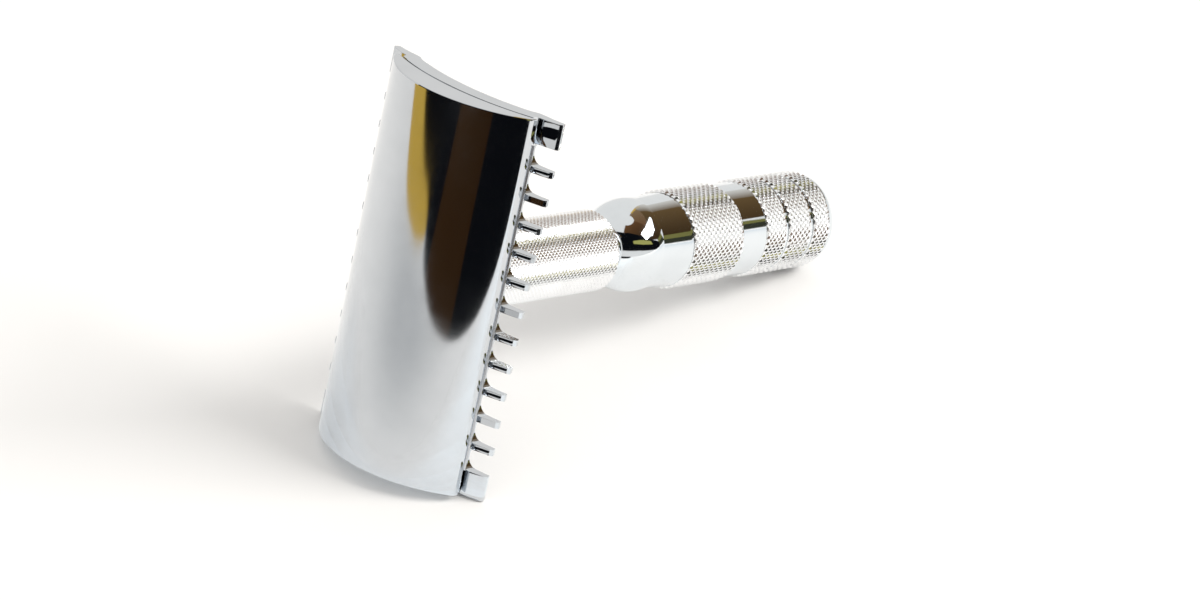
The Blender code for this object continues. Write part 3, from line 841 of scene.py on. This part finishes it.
def make_stage():
    """A plain pale floor, soft light from all round, one lamp and the cards."""
    bpy.ops.mesh.primitive_plane_add(size=8.0, location=(0.0, 0.0, 0.0))
    floor = bpy.context.object
    floor.name = "floor"
    nodes = Nodes("pale_floor")
    nodes.shader.inputs["Roughness"].default_value = 0.75
    nodes.shader.inputs["Specular IOR Level"].default_value = 0.1
    haze = nodes.noise(nodes.coordinates((14.0, 14.0, 14.0)))
    nodes.link(nodes.mix(haze, (0.86, 0.855, 0.85), (0.84, 0.835, 0.83)), nodes.shader.inputs["Base Color"])
    floor.data.materials.append(nodes.material)

    world = bpy.data.worlds.new("studio")
    bpy.context.scene.world = world
    world.use_nodes = True
    world.node_tree.nodes["Background"].inputs["Color"].default_value = (1.0, 0.985, 0.96, 1.0)
    world.node_tree.nodes["Background"].inputs["Strength"].default_value = 0.88
    area_light("window", azimuth=32, elevation=40, distance=1.25, size=(0.8, 0.4), energy=12.0)
    make_reflectors()


def area_light(name, azimuth, elevation, distance, size, energy):
    """A soft lamp in this direction that faces the razor."""
    light = bpy.data.lights.new(name, "AREA")
    light.shape = "RECTANGLE"
    light.size, light.size_y = size
    light.energy = energy
    light.color = (1.0, 0.97, 0.93)
    lamp = bpy.data.objects.new(name, light)
    bpy.context.scene.collection.objects.link(lamp)
    height = math.radians(elevation)
    away = Vector(bearing(math.cos(height), azimuth, math.sin(height)))
    lamp.location = away * distance
    lamp.rotation_euler = away.to_track_quat("Z", "Y").to_euler()


def make_reflectors():
    """The room that the chrome mirrors: a dark side, a brown wall, a painted reflection of the window, and the
    table around, with pools of painted light and shade on it.
    """
    black, brown, tan = (0.004, 0.0045, 0.006), (0.15, 0.07, 0.03), (0.26, 0.175, 0.1)
    umber, rust, cream = (0.04, 0.022, 0.009), (0.14, 0.085, 0.036), (0.75, 0.72, 0.67)
    olive, dark_green, ochre = (0.2, 0.19, 0.06), (0.04, 0.042, 0.028), (0.66, 0.43, 0.08)
    yellow_green = (0.42, 0.4, 0.12)
    brown_light, brown_dark = (0.042, 0.019, 0.007), (0.014, 0.007, 0.003)
    dark_room = [
        (-150, 14, 40), (-120, 14, 48), (-90, 14, 54), (-60, 14, 57), (-37, 14, 57), (-15, 12, 51),
        (5, 7, 41), (28, 0, 21), (42, 0, 10),
    ]
    sky_card("dark_room", dark_room, black)
    level_card("skirting", (42, 60), 1, 8, dark_green)
    level_card("olive_wall", (42, 60), 8, 14, olive)
    level_card("brown_wall", (42, 98), 14, 50, (rust, umber))
    level_card("wall_edge", (98, 116), 14, 50, (cream, rust))
    level_card("brown_ceiling", (42, 114), 50, 76, (tan, brown))
    brown_side = [(-60, 56, 76), (-37, 57, 76), (-15, 51, 76), (5, 41, 76), (28, 21, 76), (42, 14, 76)]
    sky_card("brown_side", brown_side, (brown, umber))
    level_card("ochre_post", (108, 116), 34, 68, ochre)
    # Painted reflection of the window: a glowing card that lights nothing. The lamp named window casts the
    # light and the shadows.
    window_pane = [(18, 33, 42), (35, 27, 49), (50, 31, 49), (66, 35, 45), (80, 36, 39)]
    sky_card("window_pane", window_pane, (3, 3, 3), 1.2)
    sky_card("lamp_glow", [(-27, 30, 37), (-2, 23, 34), (24, 13, 20)], yellow_green, 1.48)

    far = 2.5
    shore = smooth_line([
        (-36, 0.23), (-40, 0.176), (-45, 0.156), (-52, 0.153), (-60, 0.167), (-80, 0.256), (-92, 0.335),
        (-102, 0.424), (-105, 0.476), (-109, 0.498), (-117, 0.462), (-128, 0.427), (-150, 0.42),
    ])
    table_card("dark_table", shore, [(azimuth, far) for azimuth, _ in shore], black, 0.001)
    near = smooth_line([(-102, 0.42), (-105, 0.393), (-109, 0.361), (-117, 0.32), (-128, 0.279), (-150, 0.28)])
    table_card("ochre_table", near, shore[-len(near):], ochre, 0.0012)
    inlet = [(-95, 0.36), (-80, 0.257), (-66, 0.187)]
    inlet_far = [(azimuth, far) for azimuth, _ in inlet]
    table_card("brown_table", inlet, inlet_far, (brown_light, brown_dark), 0.0014)
    # Painted shadow on the table in front of the razor, seen only in reflections: it darkens the floor that
    # the cap and teeth mirror.
    soft_pool("painted_shade_pool", (-0.055, -0.24), (0.44, 0.36), -102, (0.64, 0.64, 0.635))
    # Painted light: a bright patch of table in front and to the right, seen only in reflections.
    soft_pool("bright_pool", (0.09, -0.073), (0.3, 0.075), -27, (1.4, 1.46, 1.48))
    soft_pool("plain_pool", (0.234, 0.26), (0.7, 0.3), 48, (0.8, 0.84, 0.87))
    # Painted light on the table just by the head, seen only in reflections: it hides the contact shadow that
    # the cap would mirror.
    soft_pool("painted_light_pool", (-0.02, -0.042), (0.1, 0.05), 0, (1.02, 1.05, 1.07))


def make_camera():
    """A long lens from the front and right, looking down at the razor."""
    data = bpy.data.cameras.new("camera")
    data.lens = CAMERA_LENS
    data.sensor_width = 36.0
    data.clip_start = 0.01
    camera = bpy.data.objects.new("camera", data)
    bpy.context.scene.collection.objects.link(camera)
    away = Vector((
        math.cos(CAMERA_ELEVATION) * math.sin(CAMERA_AZIMUTH),
        -math.cos(CAMERA_ELEVATION) * math.cos(CAMERA_AZIMUTH),
        math.sin(CAMERA_ELEVATION),
    ))
    camera.location = CAMERA_AIM + away * CAMERA_DISTANCE
    turn = away.to_track_quat("Z", "Y").to_matrix() @ Matrix.Rotation(CAMERA_ROLL, 3, "Z")
    camera.rotation_euler = turn.to_euler()
    bpy.context.scene.camera = camera


materials = make_materials()
make_cap(materials)
make_blade(materials)
make_comb(materials)
make_pins_and_stud(materials)
make_front_half(materials)
make_shoulder(materials)
make_rear_half(materials)
make_stage()
make_camera()
bpy.context.scene.view_settings.view_transform = "Standard"
bpy.context.view_layer.update()
